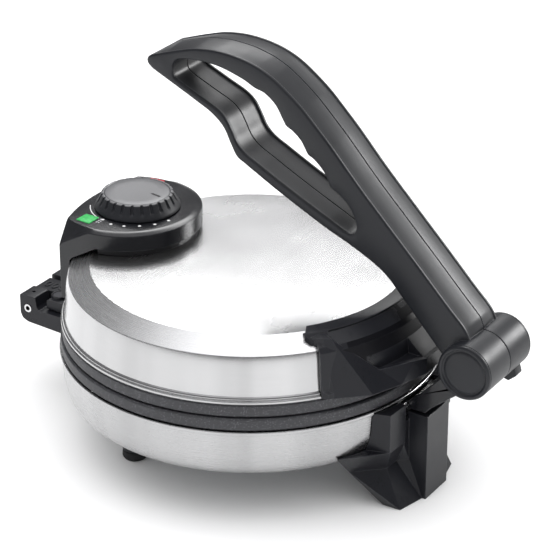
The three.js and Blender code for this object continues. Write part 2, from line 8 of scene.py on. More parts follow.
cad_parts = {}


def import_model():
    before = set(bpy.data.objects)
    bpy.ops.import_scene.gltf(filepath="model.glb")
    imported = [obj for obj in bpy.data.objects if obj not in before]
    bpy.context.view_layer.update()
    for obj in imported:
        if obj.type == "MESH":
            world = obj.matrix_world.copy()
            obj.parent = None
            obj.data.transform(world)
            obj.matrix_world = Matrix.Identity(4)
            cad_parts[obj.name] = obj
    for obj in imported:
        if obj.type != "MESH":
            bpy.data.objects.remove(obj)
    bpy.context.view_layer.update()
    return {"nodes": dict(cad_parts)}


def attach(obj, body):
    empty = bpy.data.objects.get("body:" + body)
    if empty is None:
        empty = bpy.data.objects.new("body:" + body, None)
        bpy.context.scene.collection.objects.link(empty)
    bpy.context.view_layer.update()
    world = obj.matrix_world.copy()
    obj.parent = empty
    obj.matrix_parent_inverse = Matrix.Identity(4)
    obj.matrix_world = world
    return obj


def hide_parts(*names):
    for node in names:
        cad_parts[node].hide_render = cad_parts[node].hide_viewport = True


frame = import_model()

# ------------------------------------------------------------------ sizes, in millimetres from the middle of the plates
MM = 0.001
Y_OFFSET = 8.25
PIN = (156.2, 55.0)           # y, z of the lid hinge
LINK_PIN = (-118.0, 61.0)
BARREL = (-162.0, 100.5)
DIAL = (0.0, 84.0)
GAP = 0.35
SCENE = bpy.context.scene


# ------------------------------------------------------------------ mesh helpers
def obj(name, verts, faces):
    me = bpy.data.meshes.new(name)
    me.from_pydata([(x * MM, (y + Y_OFFSET) * MM, z * MM) for x, y, z in verts], [], faces)
    ob = bpy.data.objects.new(name, me)
    SCENE.collection.objects.link(ob)
    bm = bmesh.new()
    bm.from_mesh(me)
    bmesh.ops.remove_doubles(bm, verts=bm.verts, dist=1e-7)
    bmesh.ops.recalc_face_normals(bm, faces=bm.faces)
    bm.to_mesh(me)
    bm.free()
    return ob


def loft(rings, name="tmp", flat=(0, 1)):
    """Skin through rings with the same number of points; the end caps are cut into triangles in the plane of the two axes in flat."""
    n = len(rings[0])
    verts = [p for r in rings for p in r]
    faces = []
    for k in range(len(rings) - 1):
        for i in range(n):
            a, b = k * n + i, k * n + (i + 1) % n
            p, q, r, t = (Vector(verts[j]) for j in (a, b, b + n, a + n))
            if abs((q - p).cross(r - p).dot(t - p)) < 1e-3:
                faces.append((a, b, b + n, a + n))
            else:
                faces += [(a, b, b + n), (a, b + n, a + n)]
    for base in (0, (len(rings) - 1) * n):
        ring = [Vector((verts[base + i][flat[0]], verts[base + i][flat[1]], 0)) for i in range(n)]
        for t in tessellate_polygon([ring]):
            faces.append(tuple(base + i for i in t))
    return obj(name, verts, faces)


def prism_z(pts, z0, z1, name="tmp"):
    return loft([[(x, y, z0) for x, y in pts], [(x, y, z1) for x, y in pts]], name)


def prism_x(pts, x0, x1, name="tmp"):
    return loft([[(x0, y, z) for y, z in pts], [(x1, y, z) for y, z in pts]], name, (1, 2))


def box(x0, x1, y0, y1, z0, z1, name="tmp"):
    return prism_z([(x0, y0), (x1, y0), (x1, y1), (x0, y1)], z0, z1, name)


def rounded(pts, closed=False, n=5):
    """A polyline whose points may carry a third number, the radius of the corner there."""
    out = []
    m = len(pts)
    for i, p in enumerate(pts):
        rad = p[2] if len(p) > 2 else 0
        if not rad or (not closed and i in (0, m - 1)):
            out.append((p[0], p[1]))
            continue
        a, b, c = Vector(pts[i - 1][:2]), Vector(p[:2]), Vector(pts[(i + 1) % m][:2])
        u, v = (a - b), (c - b)
        lu, lv = u.length, v.length
        u.normalize()
        v.normalize()
        cosang = max(-0.9999, min(0.9999, u.dot(v)))
        half = math.acos(cosang) / 2
        t = min(rad / math.tan(half), lu * 0.48, lv * 0.48)
        r = t * math.tan(half)
        mid = (u + v).normalized()
        centre = b + mid * (r / math.sin(half))
        s, e = b + u * t - centre, b + v * t - centre
        a0, a1 = math.atan2(s.y, s.x), math.atan2(e.y, e.x)
        d = (a1 - a0 + math.pi) % (2 * math.pi) - math.pi
        for k in range(n + 1):
            q = a0 + d * k / n
            out.append((centre.x + r * math.cos(q), centre.y + r * math.sin(q)))
    return out


def turned(profile, seg=192, closed=False, name="tmp", at=(0, 0)):
    """Profile of r, z turned round a vertical axis."""
    verts, faces, rows = [], [], []
    for r, z in profile:
        if r < 1e-6:
            rows.append([len(verts)] * seg)
            verts.append((at[0], at[1], z))
        else:
            rows.append(list(range(len(verts), len(verts) + seg)))
            for i in range(seg):
                a = 2 * math.pi * i / seg
                verts.append((at[0] + r * math.cos(a), at[1] + r * math.sin(a), z))
    m = len(rows)
    for k in range(m if closed else m - 1):
        p, q = rows[k], rows[(k + 1) % m]
        for i in range(seg):
            j = (i + 1) % seg
            f = [p[i], p[j], q[j], q[i]]
            f = [v for n, v in enumerate(f) if v not in f[:n]]
            if len(f) > 2:
                faces.append(tuple(f))
    return obj(name, verts, faces)


def about_x(profile, centre, seg=96, name="tmp", closed=False):
    """Profile of r, x turned round an axis along x through centre (y, z)."""
    ob = turned(profile, seg, closed, name)
    for v in ob.data.vertices:
        x, y, z = v.co.x / MM, v.co.y / MM - Y_OFFSET, v.co.z / MM
        v.co = (z * MM, (centre[0] + x + Y_OFFSET) * MM, (centre[1] + y) * MM)
    outward(ob)
    return ob


def outward(ob):
    bm = bmesh.new()
    bm.from_mesh(ob.data)
    bmesh.ops.recalc_face_normals(bm, faces=bm.faces)
    bm.to_mesh(ob.data)
    bm.free()


def cyl_z(x, y, r, z0, z1, seg=48, r1=None):
    r1 = r if r1 is None else r1
    return turned([(0, z0), (r, z0), (r1, z1), (0, z1)], seg, at=(x, y))


def cyl_x(c, r, x0, x1, seg=48):
    return about_x([(0, x0), (r, x0), (r, x1), (0, x1)], c, seg)


def cyl_y(x, z, r, y0, y1, seg=32):
    pts = [(x + r * math.cos(2 * math.pi * i / seg), z + r * math.sin(2 * math.pi * i / seg)) for i in range(seg)]
    return loft([[(p, y0, q) for p, q in pts], [(p, y1, q) for p, q in pts]], flat=(0, 2))


def csg(a, b, op="DIFFERENCE"):
    m = a.modifiers.new("cut", "BOOLEAN")
    m.operation = op
    m.object = b
    m.solver = "EXACT"
    bpy.context.view_layer.update()
    dg = bpy.context.evaluated_depsgraph_get()
    me = bpy.data.meshes.new_from_object(a.evaluated_get(dg))
    a.modifiers.clear()
    old = a.data
    a.data = me
    bpy.data.meshes.remove(old)
    drop(b)
    return a


def drop(ob):
    me = ob.data
    bpy.data.objects.remove(ob)
    bpy.data.meshes.remove(me)


def add(a, b):
    return csg(a, b, "UNION")


def join(a, *others):
    """Meshes kept as they are, in one object."""
    bm = bmesh.new()
    bm.from_mesh(a.data)
    for o in others:
        bm.from_mesh(o.data)
    bm.to_mesh(a.data)
    bm.free()
    for o in others:
        drop(o)
    return a


def bevelled(ob, width, segments=3, angle=30):
    m = ob.modifiers.new("edge", "BEVEL")
    m.width = width * MM
    m.segments = segments
    m.limit_method = "ANGLE"
    m.angle_limit = math.radians(angle)
    m.use_clamp_overlap = True
    bpy.context.view_layer.update()
    dg = bpy.context.evaluated_depsgraph_get()
    me = bpy.data.meshes.new_from_object(ob.evaluated_get(dg))
    ob.modifiers.clear()
    old = ob.data
    ob.data = me
    bpy.data.meshes.remove(old)
    return ob


def smooth(pts, corners=(), step=1.6, closed=False):
    """A centripetal Catmull-Rom curve through pts, sampled every step, with the points in corners kept sharp."""
    m = len(pts)
    if closed:
        idx = list(range(m)) + [0]
        first = min(corners) if corners else 0
        idx = idx[first:-1] + idx[:first] + [first]
    else:
        idx = list(range(m))
    marks = [0] + [k for k in range(1, len(idx) - 1) if idx[k] in corners] + [len(idx) - 1]
    out = []
    for a, b in zip(marks, marks[1:]):
        run = [Vector(pts[idx[k]]) for k in range(a, b + 1)]
        if len(run) == 2:
            ext = [run[0] * 2 - run[1]] + run + [run[1] * 2 - run[0]]
        elif closed and not corners:
            ext = [run[-2]] + run + [run[1]]
        else:
            ext = [run[0] * 2 - run[1]] + run + [run[-1] * 2 - run[-2]]
        for k in range(1, len(ext) - 2):
            p0, p1, p2, p3 = ext[k - 1:k + 3]
            t0 = 0.0
            t1 = t0 + max((p1 - p0).length, 1e-6) ** 0.5
            t2 = t1 + max((p2 - p1).length, 1e-6) ** 0.5
            t3 = t2 + max((p3 - p2).length, 1e-6) ** 0.5
            n = max(1, round((p2 - p1).length / step))
            for i in range(n):
                t = t1 + (t2 - t1) * i / n
                a1 = p0 * ((t1 - t) / (t1 - t0)) + p1 * ((t - t0) / (t1 - t0))
                a2 = p1 * ((t2 - t) / (t2 - t1)) + p2 * ((t - t1) / (t2 - t1))
                a3 = p2 * ((t3 - t) / (t3 - t2)) + p3 * ((t - t2) / (t3 - t2))
                b1 = a1 * ((t2 - t) / (t2 - t0)) + a2 * ((t - t0) / (t2 - t0))
                b2 = a2 * ((t3 - t) / (t3 - t1)) + a3 * ((t - t1) / (t3 - t1))
                c = b1 * ((t2 - t) / (t2 - t1)) + b2 * ((t - t1) / (t2 - t1))
                out.append((c.x, c.y))
    if not closed:
        out.append(tuple(pts[-1]))
    return out


def arc(cx, cy, r, a0, a1, n):
    return [(cx + r * math.cos(math.radians(a0 + (a1 - a0) * i / n)), cy + r * math.sin(math.radians(a0 + (a1 - a0) * i / n))) for i in range(n + 1)]


def mirror(pts):
    return list(pts) + [(-p[0],) + tuple(p[1:]) for p in reversed(pts)]


def piece(ob, name, body, mat, nodes=(), sharp=32):
    ob.name = name
    ob.data.name = name
    for p in ob.data.polygons:
        p.use_smooth = True
    ob.data.set_sharp_from_angle(angle=math.radians(sharp))
    ob.data.materials.clear()
    ob.data.materials.append(mat)
    if nodes:
        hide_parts(*nodes)
    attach(ob, body)
    return ob


def second_finish(ob, mat, test):
    """Give the faces that pass the test, by middle point in millimetres and normal, another material."""
    ob.data.materials.append(mat)
    for f in ob.data.polygons:
        c = f.center
        if test(c.x / MM, c.y / MM - Y_OFFSET, c.z / MM, f.normal):
            f.material_index = 1


# ------------------------------------------------------------------ materials
class Mat:
    def __init__(self, name, color, rough, metal=0.0):
        self.mat = bpy.data.materials.new(name)
        self.mat.use_nodes = True
        self.t = self.mat.node_tree
        self.b = self.t.nodes["Principled BSDF"]
        self.b.inputs["Base Color"].default_value = (*color, 1)
        self.b.inputs["Roughness"].default_value = rough
        self.b.inputs["Metallic"].default_value = metal
        self.mat.diffuse_color = (*color, 1)
        self.color = color
        self.co = self.n("ShaderNodeTexCoord").outputs["Object"]

    def n(self, kind, **inputs):
        node = self.t.nodes.new(kind)
        for k, v in inputs.items():
            if k.startswith("_"):
                setattr(node, k[1:], v)
            else:
                node.inputs[k.replace("__", " ")].default_value = v
        return node

    def link(self, a, b):
        self.t.links.new(a, b)

    def math(self, op, a, b=0.0, c=None, clamp=False):
        node = self.n("ShaderNodeMath", _operation=op, _use_clamp=clamp)
        for i, v in enumerate([a, b] + ([c] if c is not None else [])):
            if isinstance(v, (int, float)):
                node.inputs[i].default_value = v
            else:
                self.link(v, node.inputs[i])
        return node.outputs[0]

    def ramp(self, x, lo, hi, a=0.0, b=1.0):
        node = self.n("ShaderNodeMapRange", _clamp=True)
        self.link(x, node.inputs["Value"])
        for k, v in (("From Min", lo), ("From Max", hi), ("To Min", a), ("To Max", b)):
            node.inputs[k].default_value = v
        return node.outputs["Result"]

    def noise(self, vec, scale, detail=2.0, rough=0.5):
        node = self.n("ShaderNodeTexNoise", Scale=scale, Detail=detail, Roughness=rough)
        self.link(vec, node.inputs["Vector"])
        return node.outputs["Fac"]

    def scaled(self, sx, sy, sz, vec=None):
        node = self.n("ShaderNodeMapping")
        node.inputs["Scale"].default_value = (sx, sy, sz)
        self.link(vec or self.co, node.inputs["Vector"])
        return node.outputs["Vector"]

    def mix(self, fac, a, b):
        node = self.n("ShaderNodeMix", _data_type="RGBA")
        self.link(fac, node.inputs[0])
        for i, v in ((6, a), (7, b)):
            if isinstance(v, tuple):
                node.inputs[i].default_value = (*v, 1)
            else:
                self.link(v, node.inputs[i])
        return node.outputs[2]

    def polar(self, grain):
        """Unit direction in plan with a stretched height: fine rings round the vertical axis through the plates."""
        sep = self.n("ShaderNodeSeparateXYZ")
        self.link(self.co, sep.inputs[0])
        y = self.math("SUBTRACT", sep.outputs["Y"], Y_OFFSET * MM)
        r = self.math("SQRT", self.math("ADD", self.math("MULTIPLY", sep.outputs["X"], sep.outputs["X"]), self.math("MULTIPLY", y, y)))
        r = self.math("MAXIMUM", r, 1e-4)
        comb = self.n("ShaderNodeCombineXYZ")
        self.link(self.math("MULTIPLY", self.math("DIVIDE", sep.outputs["X"], r), grain[0]), comb.inputs[0])
        self.link(self.math("MULTIPLY", self.math("DIVIDE", y, r), grain[0]), comb.inputs[1])
        w = self.math("ADD", self.math("MULTIPLY", sep.outputs["Z"], grain[1]), self.math("MULTIPLY", r, grain[2]))
        self.link(w, comb.inputs[2])
        return comb.outputs[0]

    def colour(self, out):
        self.link(out, self.b.inputs["Base Color"])

    def rough(self, out):
        self.link(out, self.b.inputs["Roughness"])

    def bump(self, height, strength, distance, edge=0.0):
        node = self.n("ShaderNodeBump", Strength=strength, Distance=distance)
        self.link(height, node.inputs["Height"])
        if edge:
            bev = self.n("ShaderNodeBevel", _samples=4, Radius=edge)
            self.link(bev.outputs[0], node.inputs["Normal"])
        self.link(node.outputs[0], self.b.inputs["Normal"])

    def edge_wear_and_highlight(self, radius):
        """1 on the outer edges, 0 on the faces: marks rubbed edges and paints edge highlights along them."""
        bev = self.n("ShaderNodeBevel", _samples=4, Radius=radius)
        geo = self.n("ShaderNodeNewGeometry")
        dot = self.n("ShaderNodeVectorMath", _operation="DOT_PRODUCT")
        self.link(bev.outputs[0], dot.inputs[0])
        self.link(geo.outputs["Normal"], dot.inputs[1])
        return self.ramp(dot.outputs["Value"], 0.80, 0.985, 1.0, 0.0)


def plastic(name, color, rough, grain=2400.0, depth=0.00006, edge=0.0006, strength=0.35, spec=0.5):
    m = Mat(name, color, rough)
    m.b.inputs["Specular IOR Level"].default_value = spec
    fine = m.noise(m.co, grain, 3.0, 0.6)
    patch = m.noise(m.co, 38.0, 3.0, 0.55)
    light = tuple(min(1.0, c * 3.0 + 0.065) for c in color)
    dark = tuple(c * 0.82 for c in color)
    base = m.mix(m.ramp(patch, 0.35, 0.7), dark, color)
    # lighter colour on the outer edges: partly rubbed wear, partly painted edge highlight
    worn_and_highlit = m.math("MULTIPLY", m.edge_wear_and_highlight(edge * 1.2), m.ramp(m.noise(m.co, 260.0, 4.0, 0.65), 0.35, 0.7, 0.25, 1.0))
    m.colour(m.mix(m.math("MULTIPLY", worn_and_highlit, 0.8), base, light))
    rr = m.math("ADD", m.ramp(patch, 0.3, 0.75, rough - 0.05, rough + 0.06), m.ramp(fine, 0.3, 0.7, -0.03, 0.04))
    m.rough(m.math("SUBTRACT", rr, m.math("MULTIPLY", worn_and_highlit, 0.06)))
    m.bump(fine, strength, depth, edge)
    return m.mat


def steel(name, color, rough, vec, spread=0.05, strength=0.12, depth=0.00002, aniso=0.0, tint=0.04, painted_reflection_bands=0.0, smudges=0.04):
    m = Mat(name, color, rough, 1.0)
    v = vec(m)
    streak = m.noise(v, 1.0, 4.0, 0.6)
    cloud = m.noise(m.co, 14.0, 3.0, 0.5)
    smudge = m.noise(m.co, 60.0, 5.0, 0.6)
    dark = tuple(c * (1 - tint * 2) for c in color)
    base = m.mix(m.ramp(streak, 0.3, 0.7), dark, color)
    # slow darker vertical bands round the steel: painted reflections
    if painted_reflection_bands:
        reflection_band_noise = m.noise(m.polar((3.4, 0.0, 0.0)), 1.0, 2.0, 0.5)
        base = m.mix(m.ramp(reflection_band_noise, 0.36, 0.64, painted_reflection_bands, 0.0), base, tuple(c * 0.45 for c in color))
    m.colour(base)
    rr = m.math("ADD", m.ramp(streak, 0.3, 0.7, rough - spread, rough + spread), m.ramp(cloud, 0.35, 0.7, -0.015, 0.03))
    rr = m.math("ADD", rr, m.ramp(smudge, 0.55, 0.8, 0.0, smudges))
    m.rough(rr)
    if aniso:
        m.b.inputs["Anisotropic"].default_value = aniso
    if strength:
        m.bump(streak, strength, depth)
    return m.mat


BLACK = plastic("satin_black", (0.0105, 0.011, 0.0135), 0.22, strength=0.16, spec=0.45)
MATT = plastic("matt_black", (0.0125, 0.0135, 0.017), 0.39, grain=1900.0, strength=0.30, spec=0.36)
LEG = plastic("leg_black", (0.0125, 0.013, 0.0165), 0.31, strength=0.20, spec=0.28)
# knob top colour far lighter than the knob sides: painted sheen for the light its textured top catches
KNOB_TOP_SHEEN = plastic("knob_top_painted_sheen", (0.10, 0.101, 0.109), 0.44, grain=1500.0, depth=0.0001, edge=0.0003, strength=0.5, spec=1.0)
KNOB_SIDE = plastic("knob_side_black", (0.018, 0.019, 0.023), 0.5, grain=1500.0, depth=0.0001, edge=0.0003, strength=0.45, spec=0.22)
WALL_BLACK = plastic("housing_wall_black", (0.0105, 0.011, 0.0135), 0.26, strength=0.16, spec=0.22)
# darker black for the bracket's pocket and the strut's upward faces: painted shade
PAINTED_SHADE_BLACK = plastic("pocket_and_strut_painted_shade", (0.006, 0.006, 0.008), 0.42, strength=0.2, spec=0.10)
DARK = plastic("neck_black", (0.010, 0.010, 0.012), 0.5)

# the lid's top, bevel and wall are one steel sheet in three tones: bevel painted lighter, wall painted darker, as
# painted light and shade
STEEL_LID = steel("lid_steel", (0.77, 0.77, 0.775), 0.265, lambda m: m.scaled(14, 420, 420), spread=0.004, strength=0.0, tint=0.012, smudges=0.0)
STEEL_BEVEL_LIT = steel("bevel_steel_painted_light", (0.83, 0.83, 0.835), 0.27, lambda m: m.polar((6.0, 0.0, 1500.0)), spread=0.03, strength=0.03, tint=0.03)
STEEL_WALL_SHADED = steel("wall_steel_painted_shade", (0.57, 0.57, 0.575), 0.20, lambda m: m.polar((7.0, 2600.0, 0.0)), spread=0.03, strength=0.04, painted_reflection_bands=0.34)
STEEL_BASE = steel("base_steel", (0.50, 0.50, 0.505), 0.26, lambda m: m.polar((8.0, 2400.0, 400.0)), spread=0.035, strength=0.04, painted_reflection_bands=0.30)
STEEL_PIN = steel("pin_steel", (0.70, 0.70, 0.71), 0.22, lambda m: m.scaled(60, 900, 900), spread=0.05)
ZINC = steel("zinc", (0.52, 0.53, 0.55), 0.34, lambda m: m.scaled(700, 700, 700), spread=0.08, strength=0.2)
COVER = steel("cover_steel", (0.40, 0.41, 0.42), 0.42, lambda m: m.scaled(20, 1500, 20), spread=0.06)
SHIELD = steel("shield_alu", (0.62, 0.62, 0.64), 0.4, lambda m: m.scaled(20, 1200, 20), spread=0.06)
OXIDE = steel("black_oxide", (0.05, 0.05, 0.055), 0.4, lambda m: m.scaled(700, 700, 700), spread=0.08, strength=0.2)
BRASS = steel("brass", (0.60, 0.42, 0.17), 0.3, lambda m: m.scaled(900, 60, 60), spread=0.05)


def speckled(name):
    m = Mat(name, (0.03, 0.03, 0.034), 0.5)
    m.b.inputs["Specular IOR Level"].default_value = 0.5
    vor = m.n("ShaderNodeTexVoronoi", Scale=1150.0)
    m.link(m.co, vor.inputs["Vector"])
    cell = m.n("ShaderNodeSeparateColor")
    m.link(vor.outputs["Color"], cell.inputs[0])
    dots = m.math("MULTIPLY", m.math("LESS_THAN", vor.outputs["Distance"], 0.32), m.math("GREATER_THAN", cell.outputs[0], 0.60))
    fine = m.noise(m.co, 2600.0, 3.0, 0.7)
    base = m.mix(m.ramp(fine, 0.35, 0.72), (0.018, 0.018, 0.021), (0.052, 0.053, 0.060))
    m.colour(m.mix(m.math("MULTIPLY", dots, 0.75), base, (0.15, 0.152, 0.165)))
    m.rough(m.math("ADD", m.ramp(fine, 0.3, 0.7, 0.46, 0.60), m.math("MULTIPLY", dots, -0.12)))
    m.bump(m.math("ADD", fine, m.math("MULTIPLY", dots, 0.5)), 0.5, 0.00007, 0.0004)
    return m.mat


COAT = speckled("nonstick_coat")


def simple(name, color, rough, metal=0.0, scale=500.0, spread=0.05, strength=0.2, tint=0.12):
    m = Mat(name, color, rough, metal)
    fine = m.noise(m.co, scale, 4.0, 0.6)
    big = m.noise(m.co, 45.0, 3.0, 0.5)
    m.colour(m.mix(m.ramp(big, 0.35, 0.7), tuple(c * (1 - tint) for c in color), color))
    m.rough(m.ramp(fine, 0.3, 0.7, rough - spread, rough + spread))
    m.bump(fine, strength, 0.00005)
    return m.mat


RUBBER = simple("rubber", (0.010, 0.010, 0.011), 0.75, scale=1500.0, strength=0.5)
CERAMIC = simple("ceramic", (0.74, 0.70, 0.62), 0.35, scale=900.0)
ELEMENT = simple("element", (0.13, 0.11, 0.10), 0.5, 0.8, scale=700.0, strength=0.4)
LAMP = simple("lamp", (0.85, 0.80, 0.70), 0.12, scale=300.0, strength=0.05)
PRINT = simple("white_print", (0.78, 0.78, 0.78), 0.5, scale=1500.0, strength=0.1)
SOFT_PRINT = simple("grey_print", (0.42, 0.43, 0.45), 0.5, scale=1500.0, strength=0.1)
MARK = simple("mark_black", (0.006, 0.006, 0.007), 0.6, scale=1200.0)


def lens(name, color, deep, glow):
    m = Mat(name, color, 0.45)
    m.b.inputs["Specular IOR Level"].default_value = 0.15
    m.b.inputs["Coat Weight"].default_value = 0.12
    m.b.inputs["Coat Roughness"].default_value = 0.3
    cells = m.n("ShaderNodeTexVoronoi", Scale=520.0)
    m.link(m.co, cells.inputs["Vector"])
    facets = m.ramp(cells.outputs["Distance"], 0.1, 0.75)
    m.colour(m.mix(facets, color, deep))
    m.bump(facets, 0.4, 0.0002, 0.0003)
    m.b.inputs["Emission Color"].default_value = (*color, 1)
    m.b.inputs["Emission Strength"].default_value = glow
    return m.mat


GREEN = lens("green_lens", (0.05, 0.50, 0.12), (0.03, 0.33, 0.08), 0.10)
RED = lens("red_lens", (0.62, 0.03, 0.045), (0.34, 0.015, 0.02), 0.12)


# ------------------------------------------------------------------ reference skins, a little larger than the steel
SHELL_OUT = [(100, 33.6), (107.5, 34.0), (111.6, 36.2), (114.6, 40.4), (116.2, 46.5), (117.1, 55), (117.6, 64.2)]


def base_clear():
    return turned([(0, 33.2)] + [(r + GAP, z - (GAP if z < 40 else 0)) for r, z in SHELL_OUT] + [(119, 64.6), (119, 67), (0, 67)], 180)


def lid_clear(d, dt=None):
    dt = d if dt is None else dt
    return turned([(0, 120 + dt), (97.4 + d * 0.4, 120 + dt), (98.8 + d * 0.6, 119.6 + d * 0.9), (111.0 + d * 0.7, 113.3 + d * 0.7),
                   (112.4 + d, 112.0 + d * 0.2), (113.4 + d, 104), (114.4 + d, 94), (114.8 + d, 89), (116.9 + d, 87.6), (117 + d, 83), (117 + d, 70), (0, 70)], 180)


# ================================================================== base
shell = turned(
    smooth([(100, 33.6), (107.0, 33.9), (110.9, 35.6), (114.2, 39.6), (116.1, 46.0), (117.0, 55), (117.5, 64.1)], corners=(0, 6), step=1.0)
    + rounded([(117.6, 64.2), (118.5, 64.6, 0.5), (118.6, 66.8, 0.5), (116.6, 66.8, 0.3), (116.4, 64.2)])
    + [(115.6, 54), (114.6, 46), (112.3, 38.9), (107.6, 35.3), (100, 34.9)], 256, True)
shell = csg(shell, box(-22.6, 22.6, -125, -105, 50, 64.4))
gland_cut = cyl_z(0, 0, 7.4, -20, 20, 32)
for v in gland_cut.data.vertices:
    x, y, z = v.co.x / MM, v.co.y / MM - Y_OFFSET, v.co.z / MM
    a = math.radians(62)
    r = 115 + z
    v.co = ((r * math.cos(a) - x * math.sin(a)) * MM, (r * math.sin(a) + x * math.cos(a) + Y_OFFSET) * MM, (50 + y) * MM)
outward(gland_cut)
shell = csg(shell, gland_cut)
piece(shell, "base_bowl", "base", STEEL_BASE, ["base_shell"], sharp=40)

plate = turned(rounded([(0, 74.3), (97.5, 74.3, 0.6), (99.5, 75.1, 0.6), (116.7, 75.1, 0.5), (117.6, 74.4, 0.6), (117.75, 71.2), (117.6, 68.1, 0.6), (116.9, 67.3, 0.4),
                        (108, 67.3), (106, 62.5), (101, 62.5), (98.5, 68.6), (0, 68.6)]), 256)
piece(plate, "lower_griddle", "base", COAT, ["lower_plate"])

gl = turned(rounded([(3.6, -9), (7, -9, 0.5), (7, 1.1), (10, 1.1, 0.5), (10, 3.4, 1.0), (6.9, 4.6, 0.8), (6.4, 6.4), (6.2, 7.0), (6.6, 7.4), (6.4, 8.8), (5.9, 9.4), (5.9, 10.2),
                     (6.1, 10.6), (5.8, 13, 0.7), (3.6, 13, 0.4)], closed=True), 64, True)
for v in gl.data.vertices:
    x, y, z = v.co.x / MM, v.co.y / MM - Y_OFFSET, v.co.z / MM
    a = math.radians(62)
    r = 117.6 + z
    v.co = ((r * math.cos(a) - x * math.sin(a)) * MM, (r * math.sin(a) + x * math.cos(a) + Y_OFFSET) * MM, (50 + y) * MM)
outward(gl)
piece(gl, "cord_gland", "base", MATT, ["cable_gland"])

# front leg
low = mirror([(-13, -133), (-13, -130.7), (-13.5, -130.6), (-13.9, -130.5), (-32, -126.3), (-32.2, -114.5), (-14, -98)])
mid = mirror([(-13, -133), (-13, -121), (-17, -117), (-18.5, -115.5), (-29.2, -115), (-45, -98.2), (-23.8, -89.2)])
top = mirror([(-13, -133), (-13, -120.4), (-20.6, -120.4), (-20.6, -122.2), (-37, -121.2), (-60.5, -99), (-32, -88)])
leg = loft([[(x, y, 0) for x, y in low], [(x, y, 24) for x, y in mid], [(x, y, 40.4) for x, y in top]])
for s in (-1, 1):
    side = [(s * 20.6, -122.2), (s * 37, -121.2), (s * 41.5, -107.4), (s * 20.6, -112)]
    if s < 0:
        side.reverse()
    leg = add(leg, prism_z(side, 40, 65.4))
leg = add(leg, box(-22, 22, -120.4, -110, 40, 52))
leg = add(leg, box(-13, 13, -133, -119, 40, 56.5))
leg = csg(leg, base_clear())
leg = csg(leg, cyl_x(LINK_PIN, 2.4, -27.4, 27.4, 32))
leg = csg(leg, prism_z(mirror([(-12, -126.6), (-27, -122), (-26, -114), (-10, -104)]), -1, 2))
piece(leg, "front_leg_moulding", "base", LEG, ["front_leg"], sharp=18)

for s, n in ((-1, "left"), (1, "right")):
    post = turned(rounded([(0, 32.9), (11, 32.9, 0.4), (11, 30.5, 0.8), (8.6, 28, 1.2), (7.7, 6.4, 0.3), (0, 6.4)]), 64, at=(s * 65, 44))
    piece(post, f"rear_foot_post_{n}", "base", MATT, [f"rear_foot_{n}"])
    pad = turned(rounded([(0, 6.0), (7.6, 6.0, 0.3), (7.9, 2, 1.2), (6.8, 0, 0.8), (4.6, 0), (4.4, 0.5), (0, 0.5)]), 64, at=(s * 65, 44))
    piece(pad, f"rear_foot_pad_{n}", "base", RUBBER, [f"foot_pad_{n}"])

# rear hinge bracket
arm_outline = rounded([(112, 42.8), (156.6, 45.1, 3), (160.8, 46.9, 2), (162.5, 50.4, 2), (162.5, 64, 1.4), (150.3, 64, 0.9), (149.2, 57.2, 1), (147.6, 55.2, 0.8), (112, 55)])
br = prism_x(arm_outline, -24, -10.2)
br = add(br, prism_x(arm_outline, 10.2, 24))
br = add(br, prism_x([(112, 42.6), (124, 43.2), (124, 51), (112, 51)], -24, 24))
br = csg(br, base_clear())
br = csg(br, cyl_x(PIN, 3.05, -26, 26, 48))
for s in (-1, 1):
    br = csg(br, cyl_z(s * 17, 156.3, 1.3, 61, 66, 24))
piece(br, "rear_hinge_bracket", "base", LEG, ["hinge_bracket"], sharp=25)

# ================================================================== lid
lid = turned(
    [(0, 120.45), (30, 120.42), (60, 120.30), (84, 120.12)]
    + rounded([(92, 120.04), (98.2, 119.95, 0.9), (111.7, 113.1, 1.1), (112.9, 108)], n=6)[1:]
    + [(113.4, 104), (114.4, 94)]
    + rounded([(114.6, 91), (114.85, 88.5, 0.25), (115.7, 88.3, 0.35), (116.35, 87.3, 0.6), (115.6, 86.5, 0.25), (116.8, 86.2, 0.35), (117.05, 85.2, 0.7), (116.6, 84.2, 0.3), (112.0, 84.2)])[1:]
    + [(113.0, 90), (112.1, 103.6), (110.9, 111.4), (98.3, 118.0), (0, 118.4)], 256)
lid = csg(lid, cyl_z(*DIAL, 7, 116, 122, 32))
piece(lid, "lid_cover", "lid", STEEL_WALL_SHADED, ["lid_shell"], sharp=40)
lid.data.materials.append(STEEL_LID)
lid.data.materials.append(STEEL_BEVEL_LIT)
# faces sorted by slope into the three painted light and shade tones of one steel
for p in lid.data.polygons:
    if p.normal.z > 0.98 and p.center.z > 0.1195:
        p.material_index = 1
    elif p.normal.z > 0.35 and p.center.z > 0.1125:
        p.material_index = 2

plate = turned(rounded([(0, 83.0), (98.5, 83.0), (101, 88.5), (106, 88.5), (108, 83.8), (115.8, 83.8, 0.4), (116.6, 83.0, 0.6), (116.8, 80), (116.6, 76.8, 0.6), (115.8, 75.9, 0.5),
                        (99.5, 75.9, 0.6), (97.5, 76.7, 0.6), (0, 76.7)]), 256)
piece(plate, "upper_griddle", "lid", COAT, ["upper_plate"])


# control housing
HY, HR = 91.0, 46.3


def ring_of(r, a_side, r_rear, z, flat=False, n=64):
    """Plan of the housing: left side, round front, right side, rear edge round the lid."""
    if flat:
        corner = (-r, math.sqrt(r_rear * r_rear - r * r))
        side = [(-r, corner[1] + (HY - corner[1]) * k / 12) for k in range(12)]
    else:
        side = arc(0, HY, r, a_side, 180, 12)[:12]
        corner = side[0]
    a = math.degrees(math.atan2(corner[1], -corner[0]))
    right = [(-x, y) for x, y in reversed(side)]
    pts = side + arc(0, HY, r, 180, 360, n) + right + arc(0, 0, r_rear, a, 180 - a, 24)[1:-1]
    return [(x, y, z(y) if callable(z) else z) for x, y in pts]


